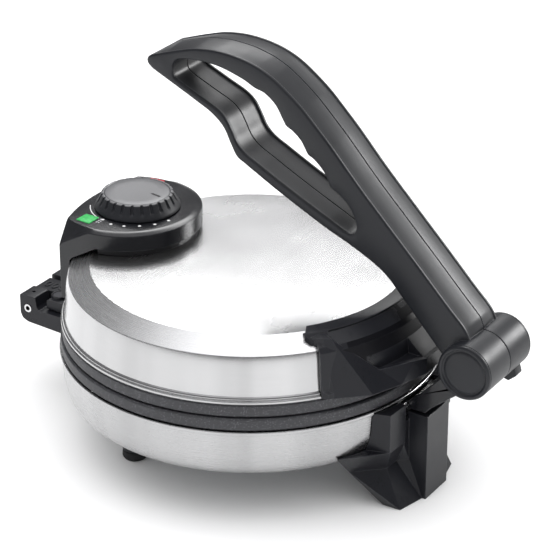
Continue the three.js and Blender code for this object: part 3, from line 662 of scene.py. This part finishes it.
def wall_top(y):
    return min(134.7, 134.5 - 0.585 * (y - 88.4))


def between(a, b, t, lift=0.0):
    return [(p[0] + (q[0] - p[0]) * t, p[1] + (q[1] - p[1]) * t, p[2] + (q[2] - p[2]) * t + lift) for p, q in zip(a, b)]


r_out = ring_of(46.3, 0, 120.3, wall_top, True)
r_deck = ring_of(42.3, 152.5, 116.6, 136.0)
r_low = ring_of(46.3, 0, 120.3, 104, True)
r_wall = ring_of(46.3, 0, 120.3, lambda y: wall_top(y) - 0.5, True)
r_in = ring_of(41.6, 152.9, 116.0, 136.05)
r_support = ring_of(46.3, 0, 120.3, lambda y: wall_top(y) - 1.4, True)
house = loft([r_low, r_support, r_wall, between(r_out, r_deck, 0.06, -0.10), between(r_out, r_deck, 0.5, 0.06), between(r_out, r_deck, 0.90, 0.02), between(r_deck, r_in, 0.35, -0.02), r_in])
skirt = csg(turned([(116.4, 84.6), (120.3, 84.6), (120.3, 118), (112, 118), (112, 112), (115, 100)], 192, True), box(-46.3, 46.3, 90, 130, 80, 120), "INTERSECT")
house = add(house, skirt)
house = csg(house, turned([(0, 124.7), (95.5, 124.7), (111.7, 114.3), (113.3, 112.3), (114.3, 104), (115.3, 94), (115.7, 89), (117.8, 87.6), (117.9, 83), (117.9, 70), (0, 70)], 192))
house = csg(house, loft([ring_of(43.4, 160, 113.4, 90), ring_of(43.4, 160, 113.4, 120), ring_of(40.4, 158, 112.6, 132.8)]))
for s, dx, dy in ((-1, 0, 0), (1, 2.9, -2.8)):
    house = csg(house, prism_z([(s * 26.7 + dx, 93.6 + dy), (s * 37.9 + dx, 93.8 + dy), (s * 37.1 + dx, 104.7 + dy), (s * 26.6 + dx, 104.2 + dy)], 130, 140))
house = csg(house, cyl_z(*DIAL, 4.6, 130, 140, 32))
piece(house, "dial_housing", "lid", BLACK, ["control_housing"], sharp=24)
second_finish(house, WALL_BLACK, lambda x, y, z, n: z < 134 and abs(n.z) < 0.5 and x > -10)

for s, n, m, dx, dy in ((-1, "green", GREEN, 0, 0), (1, "red", RED, 2.9, -2.8)):
    q = bevelled(prism_z([(s * 26.95 + dx, 93.85 + dy), (s * 37.65 + dx, 94.05 + dy), (s * 36.85 + dx, 104.45 + dy), (s * 26.85 + dx, 103.95 + dy)], 132.9, 136.45), 0.45, 3)
    piece(q, f"{n}_indicator", "lid", m, [f"{n}_lens"])
    second_finish(q, DARK, lambda x, y, z, n: z < 135.6)
    # short generic strokes beside the lens
    bars = None
    for k, (w, y) in enumerate(((1.5, 91.6), (1.3, 90.1))):
        for x in (28.4, 30.7, 33.0):
            b = box(s * x + dx - w / 2, s * x + dx + w / 2, y + dy - 0.42, y + dy + 0.42, 135.96, 136.14)
            bars = join(bars, b) if bars else b
    piece(bars, f"indicator_mark_{n}", "lid", SOFT_PRINT)

for i, (x, y) in enumerate(((-28.2, 90.3), (-30.9, 82.3), (-29.0, 73.8), (-23.8, 65.8), (-16.7, 59.3), (-7.6, 55.3))):
    dot = turned(rounded([(0, 135.8), (1.0, 135.8), (1.0, 136.2, 0.2), (0, 136.26)]), 24, at=(x, y))
    piece(dot, f"dial_dot_{i + 1}", "lid", PRINT)
# a short thin white arc on the deck round the knob
ring = turned([(29.3, 135.9), (29.85, 135.9), (29.85, 136.2), (29.3, 136.2)], 160, True, at=DIAL)
ring = csg(ring, prism_z([(-40, 93.6), (-15, 93.6), (-15, 112), (-40, 112)], 130, 145), "INTERSECT")
piece(ring, "dial_white_arc", "lid", PRINT)

# press bracket
outer_low = [(-67, -80.5), (-68, -96), (-66.5, -100.5), (-51, -117), (-31, -124.8), (-12, -130)]
lip = [(-67, -80.5, 119.5), (-64.5, -91, 120.4), (-62, -94.5, 120), (-39.5, -114.5, 95.5), (-20, -126.5, 95.8), (-10, -129.6, 94)]


def section(b, t):
    k = 100 / math.hypot(t[0], t[1])
    return [(t[0] * k, t[1] * k, 84.7), (t[0] * k, t[1] * k, t[2]), t, (b[0], b[1], 84.7)]


halves = [section(b, t) for b, t in zip(outer_low, lip)]
halves += [[(-x, y, z) for x, y, z in q] for q in reversed(halves)]
press = loft(halves, flat=(1, 2))
apron = csg(lid_clear(3.0, 1.2), prism_z(mirror([(-56, -74.5), (-70.5, -93.5), (-69, -98.5), (-50, -118.5), (-20, -124)]), 84.7, 121), "INTERSECT")
band = turned(rounded([(95.4, 119), (95.4, 121.4, 0.7), (96.6, 122.2, 0.7), (104.6, 121.5, 1.2), (108.6, 117.6), (108, 112)]), 200, True)
band = csg(band, prism_z(mirror([(-55.5, -74.5), (-67.2, -80.5), (-67.5, -90), (-50, -112)]), 100, 130), "INTERSECT")
press = add(add(press, apron), band)
press = csg(press, cyl_z(0, 0, 95.55, 100, 130, 180))
pocket = prism_z(mirror([(-40, -80), (-57.5, -90), (-38.2, -112.4), (-18.9, -124.2)]), 94, 140)
pocket = csg(pocket, lid_clear(3.0, 3.0))
pocket = csg(pocket, turned([(0, 100), (104.8, 100), (104.8, 130), (0, 130)], 180))
press = csg(press, pocket)
press = add(press, prism_x([(-108, 90), (-129.6, 90), (-129.6, 91.4), (-127, 93.8), (-113, 107), (-108, 112)], -10, 10))
press = csg(press, lid_clear(GAP))
press = csg(press, turned([(0, 70), (117.1, 70), (117.1, 84.4), (0, 84.4)], 180))
piece(press, "press_bracket_moulding", "lid", LEG, ["press_bracket"], sharp=12)
# pocket walls and the strut's upward faces take the darker black as painted shade
second_finish(press, PAINTED_SHADE_BLACK, lambda x, y, z, n: z < 121 and (
    (abs(x) < 56 and 104.4 < math.hypot(x, y) < 116.5 and (x * n.x + y * n.y) / math.hypot(x, y) > 0.6)
    or (abs(x) < 10.2 and y < -108 and n.z > 0.3)))

# hinge arm
arm = prism_x(rounded([(122, 56.3), (143, 56.3), (149.5, 50.5, 2), (153, 48, 2), (157, 47.6, 2), (160.6, 49.4, 2), (162.5, 52.6, 2), (162.5, 62.2, 0.7), (122, 62.2)]), -7.6, 7.6)
arm = add(arm, prism_x([(112, 56.3), (144, 56.3), (144, 62), (142.6, 62.9), (128, 62.9), (126.5, 66), (126.5, 82.8), (112, 82.8)], -20, 20))
arm = csg(arm, cyl_x(PIN, 3.1, -26, 26, 48))
arm = csg(arm, turned([(0, 40), (119.2, 40), (119.2, 75.5), (117.4, 75.9), (117.4, 90), (0, 90)], 180))
for s, n in ((-1, "left"), (1, "right")):
    arm = add(arm, turned(rounded([(0, 62), (5.1, 62), (4.95, 64.95, 0.5), (4.1, 64.95, 0.3), (4.0, 63.2), (0, 63.2)]), 64, at=(s * 13, 139.2)))
    arm = csg(arm, cyl_z(s * 13, 139.2, 2.3, 57.6, 67, 32))
piece(arm, "lid_hinge_arm", "lid", LEG, ["hinge_arm"], sharp=25)
for i, y in enumerate((157.0, 151.4, 146.0)):
    loop = turned(rounded([(1.35, 62.0), (1.35, 62.75, 0.2), (2.15, 62.75, 0.2), (2.15, 62.0)], closed=True), 48, True)
    for v in loop.data.vertices:
        x, yy, z = v.co.x / MM, v.co.y / MM - Y_OFFSET, v.co.z / MM
        v.co = ((x * 1.75 - 0.4) * MM, (y + yy + Y_OFFSET) * MM, z * MM)
    piece(loop, f"hinge_arm_loop_{i + 1}", "lid", LEG)


# ================================================================== dial knob
def knob_mesh():
    ribs, per = 24, 20
    seg = ribs * per
    levels = [(25.6, 136.38, 0), (26.4, 136.5, 0), (26.85, 136.9, 0), (26.9, 137.4, 0), (26.4, 138.4, 0), (25.2, 140.3, 0), (25.0, 140.6, 0.35), (24.75, 141.0, 1), (23.7, 143.0, 1), (22.95, 144.4, 1),
              (22.7, 145.0, 1), (22.4, 145.5, 1), (22.0, 145.85, 0.75), (21.6, 146.0, 0.35), (21.15, 146.02, 0), (20.9, 145.95, 0), (20.65, 145.55, 0), (20.45, 145.5, 0), (20.2, 145.8, 0), (19.8, 145.98, 0), (14, 145.86, 0), (7, 145.8, 0)]
    verts, faces = [], []
    for r, z, rib in levels:
        for i in range(seg):
            a = math.radians(-130.5) + 2 * math.pi * i / seg
            ph = (i % per) / per
            groove = max(0.0, min(1.0, (0.175 - abs(ph - 0.5)) / 0.075))
            rr = r - 1.35 * rib * groove
            verts.append((rr * math.cos(a) + DIAL[0], rr * math.sin(a) + DIAL[1], z))
    n = len(levels)
    verts.append((DIAL[0], DIAL[1], 145.78))
    for k in range(n - 1):
        for i in range(seg):
            j = (i + 1) % seg
            faces.append((k * seg + i, k * seg + j, (k + 1) * seg + j, (k + 1) * seg + i))
    for i in range(seg):
        faces.append(((n - 1) * seg + i, (n - 1) * seg + (i + 1) % seg, n * seg))
    faces.append(tuple(reversed(range(seg))))
    return obj("knob", verts, faces)


knob = knob_mesh()
slot_cut = prism_z([(1.6, 75.15), (3.4, 74.75), (1.9, 67.3), (0.1, 67.7)], 145.1, 150)
knob = csg(knob, slot_cut)
knob = csg(knob, cyl_z(*DIAL, 3.3, 130, 142.5, 24))
piece(knob, "temperature_knob", "dial", KNOB_TOP_SHEEN, ["dial_knob"], sharp=40)
knob_top = max(v.co.z for v in knob.data.vertices) / MM
# the lighter top colour is painted sheen; the sides below take the plain darker black
second_finish(knob, KNOB_SIDE, lambda x, y, z, n: z < knob_top - 0.45)
inlay = prism_z([(1.65, 75.1), (3.35, 74.7), (1.85, 67.35), (0.15, 67.75)], 144.9, 145.6)
piece(inlay, "knob_pointer", "dial", MARK)

# ================================================================== link
notch = arc(BARREL[0], BARREL[1], 18.2, -30, -88, 20)
block = [(-114.6, 58.8), (-131, 58.8), (-134.5, 63), (-152.3, 77.5)] + list(reversed(notch)) + [(-140, 84.6), (-127, 70.7), (-123.8, 68.6), (-119.4, 63.9), (-114.6, 63.4)]
link = bevelled(prism_x(block, -13, 13), 0.5, 2, 20)
link = add(link, prism_x([(-140.2, 84.3), (-140.2, 99.5)] + arc(BARREL[0], BARREL[1], 18.2, -3, -36, 10), -7.8, 7.8))


def neck_slot(deg, half, length):
    a = math.radians(deg)
    d, n = (math.cos(a), math.sin(a)), (-math.sin(a), math.cos(a))
    return [(BARREL[0] + d[0] * s + n[0] * t, BARREL[1] + d[1] * s + n[1] * t) for s, t in ((0, -half), (length, -half), (length, half), (0, half))]


link = add(link, prism_x(neck_slot(-12, 3.6, 21), -7.8, 7.8))
link = add(link, cyl_x(BARREL, 11.5, -7.8, 7.8, 48))
link = csg(link, cyl_x(BARREL, 6.3, -10, 10, 48))
link = csg(link, cyl_x(LINK_PIN, 2.5, -20, 20, 32))
piece(link, "link_block", "link", BLACK, ["link_arm"], sharp=20)

# ================================================================== handle
TOP = [(60.8, 241.2), (61.8, 243.6), (61.0, 245.9), (58.6, 247.6), (55.5, 248.6), (50, 250.6), (39, 254.3), (27, 257.7), (12, 259.3), (-3.5, 258.2), (-16, 255.2), (-26, 250.8),
       (-36, 244.2), (-46, 236.4), (-55, 227.8), (-66, 216.8), (-86, 195.2), (-106, 175.0), (-126, 155.0), (-146, 134.6), (-157, 123.6), (-160.5, 117.4)]
LOW = [(-145.2, 101.6), (-141.5, 105.2), (-125.8, 122.1), (-113.4, 135.4), (-106.5, 142.7), (-100.9, 147.1), (-89.6, 153.3), (-78.3, 158.4), (-64.0, 164.2),
       (-32.3, 179.2), (-17.6, 186.8), (-7.6, 192.2), (-1.7, 195.6), (2.6, 202.7), (7.9, 212.5), (15.5, 219.1), (27.0, 224.9), (42.4, 231.9), (57.9, 238.9)]
SLOT = [(43.4, 240.2), (43.0, 244.4), (40.6, 247.8), (35.0, 249.7), (23.5, 250.6), (12.0, 250.1), (3.7, 248.4), (-7.6, 244.9), (-14.3, 241.8), (-21.0, 240.0),
        (-28.5, 234.4), (-33.6, 226.4), (-36.0, 222.8), (-40.0, 220.8), (-46.0, 215.9), (-49.0, 211.2), (-50.8, 208.4), (-55.4, 205.8), (-61.4, 200.2), (-64.4, 195.2), (-66.2, 191.4), (-72.1, 187.9),
        (-78.6, 182.4), (-82.6, 175.6), (-84.2, 169.6), (-82.9, 166.0), (-79.0, 165.0), (-63.9, 171.4), (-37.6, 183.6), (-17.6, 193.6), (-6.4, 199.6), (-1.6, 204.6), (1.8, 211.0), (6.0, 217.8), (11.5, 222.4), (27.0, 229.3), (40.0, 235.2), (42.8, 237.4)]


def offset_normals(loop):
    """Unit normals in the plane of the outline, pointing into the material on its left."""
    out = []
    m = len(loop)
    for i in range(m):
        a, c = Vector(loop[i - 1]), Vector(loop[(i + 1) % m])
        t = c - a
        t.normalize()
        out.append((-t.y, t.x))
    return out


def area(loop):
    return sum(loop[i - 1][0] * loop[i][1] - loop[i][0] * loop[i - 1][1] for i in range(len(loop))) / 2


outer = smooth(TOP, step=1.5) + [BARREL] + smooth(LOW, corners=(), step=1.5)
if area(outer) < 0:
    outer.reverse()
slot_loop = smooth(SLOT, closed=True, step=1.2)
if area(slot_loop) > 0:
    slot_loop.reverse()


def crown(y, z):
    """How far the top face rises to its middle: 1 on the top of the bar, 0 underneath and at the nose."""
    if y > 58 or z < 112:
        return 0.0
    line = [p for p in TOP[4:]]
    best = min(abs(z - (a[1] + (b[1] - a[1]) * (y - a[0]) / (b[0] - a[0]))) for a, b in zip(line, line[1:]) if b[0] <= y <= a[0]) if -160.5 < y < 55.5 else 99
    near = max(0.0, 1 - best / 4.0)
    return near * min(1.0, (58 - y) / 10.0) * min(1.0, (z - 112) / 12.0)


def half_handle(side):
    w = 17.6
    # x, inset on the outer outline, inset on the slot, share of the crown
    rows = [(w, 1.3, 1.0, 0), (w - 0.25, 0.55, 0.4, 0), (w - 0.7, 0.12, 0.1, 0), (w - 1.2, 0, 0, 0), (w - 1.9, 0.0, 0.0, 0), (w - 2.25, 0.25, 0.3, 0.0), (w - 2.4, 0.75, 1.0, 0.05),
            (w - 2.9, 0.80, 1.25, 0.12), (w - 5, 0.7, 1.3, 0.32), (10, 0.6, 1.3, 0.56), (7, 0.5, 1.2, 0.76), (4, 0.4, 1.1, 0.90), (1.6, 0.3, 1.05, 0.98), (0.45, 0.3, 1.05, 1.0), (0.22, 0.75, 1.5, 1.0), (0.1, 0.85, 1.6, 1.0)]
    n_out, n_in = offset_normals(outer), offset_normals(slot_loop)
    verts, faces = [], []
    mo, mi = len(outer), len(slot_loop)
    for x, oi, si, cr in rows:
        for (y, z), n in zip(outer, n_out):
            c = crown(y, z)
            inset = oi
            if y > 50:                                       # the nose keeps its full height
                inset = oi * max(0.0, min(1.0, (55.5 - y) / 3.0)) if x < w - 1.2 else oi
            k = inset - 2.0 * cr * c
            verts.append((side * x, y + n[0] * k, z + n[1] * k))
        for (y, z), n in zip(slot_loop, n_in):
            verts.append((side * x, y + n[0] * si, z + n[1] * si))
    per = mo + mi
    for k in range(len(rows) - 1):
        for i in range(mo):
            j = (i + 1) % mo
            faces.append((k * per + i, k * per + j, (k + 1) * per + j, (k + 1) * per + i))
        for i in range(mi):
            j = (i + 1) % mi
            faces.append((k * per + mo + i, k * per + mo + j, (k + 1) * per + mo + j, (k + 1) * per + mo + i))
    me = bpy.data.meshes.new("half")
    me.from_pydata([(x * MM, (y + Y_OFFSET) * MM, z * MM) for x, y, z in verts], [], faces)
    bm = bmesh.new()
    bm.from_mesh(me)
    bm.verts.ensure_lookup_table()
    for k in (0, len(rows) - 1):
        edges = []
        for base, m in ((k * per, mo), (k * per + mo, mi)):
            for i in range(m):
                e = bm.edges.get((bm.verts[base + i], bm.verts[base + (i + 1) % m]))
                edges.append(e)
        bmesh.ops.triangle_fill(bm, edges=edges, use_beauty=True)
    bmesh.ops.recalc_face_normals(bm, faces=bm.faces)
    bm.to_mesh(me)
    bm.free()
    ob = bpy.data.objects.new("half", me)
    SCENE.collection.objects.link(ob)
    return ob


sector = [BARREL] + arc(BARREL[0], BARREL[1], 19.5, -12, -122, 32)
for s, n in ((-1, "left"), (1, "right")):
    half = half_handle(s)
    barrel = about_x(rounded([(0, s * 0.12), (16.5, s * 0.12), (17, s * 0.5, 0.3), (17, s * 23.9), (0, s * 23.9)]), BARREL, 128)
    half = csg(half, barrel, "UNION")
    if s > 0:
        lug = bevelled(prism_x(rounded([(-175.2, 90), (-176.6, 85, 1.5), (-171.4, 80.6, 1.5), (-165, 82.5, 1), (-162, 90)]), 13.4, 20.4), 0.6, 2)
        half = csg(half, lug, "UNION")
    half = csg(half, cyl_x(BARREL, 12.2, *sorted((-s * 1.0, s * 8.3)), 48))
    half = csg(half, prism_x(sector, -8.3, 8.3))
    half = csg(half, prism_x(neck_slot(-12, 4.3, 19.5), -8.3, 8.3))
    half = csg(half, prism_x(neck_slot(-122, 4.3, 19.5), -8.3, 8.3))
    half = csg(half, cyl_x(BARREL, 4.3, *sorted((-s * 1.0, s * 24.05)), 32))
    piece(half, f"handle_grip_{n}", "handle", MATT, [f"handle_shell_{n}"], sharp=34)
    cap = about_x([(r, s * (23.9 + h)) for r, h in rounded([(0, 0.3), (16.9, 0.3, 0.2), (17.0, 1.2), (16.7, 2.0, 0.7), (15.6, 2.5, 0.6), (14.7, 2.45, 0.5), (14.0, 1.35, 0.4), (13.3, 1.2, 0.3), (12.9, 1.5), (11.5, 1.75), (9, 2.1), (6, 2.38), (3, 2.5), (0, 2.54)])], BARREL, 128)
    piece(cap, f"barrel_end_{n}", "handle", MATT, [f"barrel_cap_{n}"], sharp=40)

# ================================================================== carried-over nodes
KEEP = {
    "base_cover": COVER, "lower_heating_element": ELEMENT, "lower_element_clamp": ZINC, "lower_heat_shield": SHIELD, "terminal_block": CERAMIC,
    "link_pin": STEEL_PIN, "leg_screw_left": ZINC, "leg_screw_right": ZINC, "foot_screw_left": ZINC, "foot_screw_right": ZINC, "hinge_pin": STEEL_PIN,
    "upper_heating_element": ELEMENT, "upper_element_clamp": ZINC, "upper_heat_shield": SHIELD, "thermostat_body": CERAMIC, "housing_neck": DARK,
    "green_lamp": LAMP, "red_lamp": LAMP, "housing_screw_left": ZINC, "housing_screw_right": ZINC, "bracket_screw_left": ZINC, "bracket_screw_right": ZINC,
    "hinge_screw_left": OXIDE, "hinge_screw_right": OXIDE, "dial_shaft": ZINC, "link_bush": BRASS, "handle_axle": ZINC,
    "handle_screw_1": ZINC, "handle_screw_2": ZINC, "handle_screw_3": ZINC,
}
for node, m in KEEP.items():
    for sl in frame["nodes"][node].material_slots:
        sl.link = "OBJECT"
        sl.material = m

# ================================================================== studio
floor = bpy.data.meshes.new("floor")
floor.from_pydata([(-6, -6, -0.0002), (6, -6, -0.0002), (6, 6, -0.0002), (-6, 6, -0.0002)], [], [(0, 1, 2, 3)])
floor_ob = bpy.data.objects.new("floor", floor)
SCENE.collection.objects.link(floor_ob)
fm = Mat("floor_white", (0.90, 0.90, 0.90), 0.7)
fm.b.inputs["Specular IOR Level"].default_value = 0.1
floor.materials.append(fm.mat)


def soft(name, loc, target, sx, sy, power, color=(1, 1, 1)):
    data = bpy.data.lights.new(name, "AREA")
    data.shape = "RECTANGLE"
    data.size, data.size_y = sx, sy
    data.energy = power
    data.color = color
    ob = bpy.data.objects.new(name, data)
    ob.location = loc
    ob.rotation_mode = "QUATERNION"
    ob.rotation_quaternion = (Vector(target) - Vector(loc)).to_track_quat("-Z", "Y")
    ob.visible_camera = False
    ob.visible_diffuse = False
    data.cycles.max_bounces = 0
    SCENE.collection.objects.link(ob)
    return ob


def softbox(name, azimuth, elevation, distance, width, height, radiance):
    """A square soft light seen from the appliance in the given direction, of even brightness."""
    a, e = math.radians(azimuth), math.radians(elevation)
    loc = (distance * math.cos(e) * math.cos(a), distance * math.cos(e) * math.sin(a), 0.12 + distance * math.sin(e))
    return soft(name, loc, (0, 0, 0.12), width, height, math.pi * width * height * radiance)


softbox("rear_box", 32, 45, 1.6, 0.95, 0.50, 8.0)
softbox("bevel_box", 4, 19, 1.7, 0.50, 0.34, 2.6)
softbox("right_box", -37.0, 20.0, 1.59, 0.52, 0.48, 27.0)

world = bpy.data.worlds.new("studio")
SCENE.world = world
world.use_nodes = True
wt = world.node_tree
bg = wt.nodes["Background"]
lp = wt.nodes.new("ShaderNodeLightPath")
tc = wt.nodes.new("ShaderNodeTexCoord")
sep = wt.nodes.new("ShaderNodeSeparateXYZ")
wt.links.new(tc.outputs["Generated"], sep.inputs[0])
ramp = wt.nodes.new("ShaderNodeValToRGB")
wt.links.new(sep.outputs["Z"], ramp.inputs["Fac"])
els = ramp.color_ramp.elements
els[0].position, els[0].color = 0.0, (0.20, 0.20, 0.205, 1)
els[1].position, els[1].color = 1.0, (1.55, 1.55, 1.57, 1)
for pos, c in ((0.50, 0.22), (0.66, 0.22), (0.82, 0.46), (0.92, 0.95)):
    e = els.new(pos)
    e.color = (c, c, c * 1.02, 1)
mixw = wt.nodes.new("ShaderNodeMix")
mixw.data_type = "RGBA"
wt.links.new(lp.outputs["Is Glossy Ray"], mixw.inputs[0])
sky = wt.nodes.new("ShaderNodeValToRGB")
wt.links.new(sep.outputs["Z"], sky.inputs["Fac"])
stops = sky.color_ramp.elements
stops[0].position, stops[0].color = 0.0, (0.22, 0.22, 0.22, 1)
stops[1].position, stops[1].color = 1.0, (2.8, 2.8, 2.82, 1)
for pos, c in ((0.25, 0.38), (0.55, 1.15)):
    e = stops.new(pos)
    e.color = (c, c, c, 1)
plain = wt.nodes.new("ShaderNodeMix")
plain.data_type = "RGBA"
wt.links.new(lp.outputs["Is Camera Ray"], plain.inputs[0])
wt.links.new(sky.outputs["Color"], plain.inputs[6])
plain.inputs[7].default_value = (1.38, 1.38, 1.39, 1)
wt.links.new(plain.outputs[2], mixw.inputs[6])
dot = wt.nodes.new("ShaderNodeVectorMath")
dot.operation = "DOT_PRODUCT"
wt.links.new(tc.outputs["Generated"], dot.inputs[0])
dot.inputs[1].default_value = (0.6, -0.13, 0.79)
power = wt.nodes.new("ShaderNodeMath")
power.operation = "POWER"
power.use_clamp = True
wt.links.new(dot.outputs["Value"], power.inputs[0])
power.inputs[1].default_value = 9.0
lobe = wt.nodes.new("ShaderNodeVectorMath")
lobe.operation = "SCALE"
lobe.inputs[0].default_value = (0.85, 0.85, 0.86)
wt.links.new(power.outputs[0], lobe.inputs["Scale"])
total = wt.nodes.new("ShaderNodeVectorMath")
total.operation = "ADD"
wt.links.new(ramp.outputs["Color"], total.inputs[0])
wt.links.new(lobe.outputs[0], total.inputs[1])
wt.links.new(total.outputs[0], mixw.inputs[7])
wt.links.new(mixw.outputs[2], bg.inputs["Color"])
bg.inputs["Strength"].default_value = 1.0
SCENE.view_settings.view_transform = "Standard"
SCENE.view_settings.look = "None"
SCENE.view_settings.exposure = 0.0
SCENE.view_settings.gamma = 1.0

cam = bpy.data.cameras.new("camera")
cam.sensor_fit = "HORIZONTAL"
cam.sensor_width = 36.0
cam.lens = 2395.2 / 550 * 36
cam.clip_start, cam.clip_end = 0.05, 50
cam_ob = bpy.data.objects.new("camera", cam)
cam_ob.location = (-1.103771, -0.708547, 0.759646)
cam_ob.rotation_mode = "QUATERNION"
cam_ob.rotation_quaternion = Vector((0.757498, 0.479878, -0.442621)).to_track_quat("-Z", "Y")
SCENE.collection.objects.link(cam_ob)
SCENE.camera = cam_ob

bpy.context.view_layer.update()
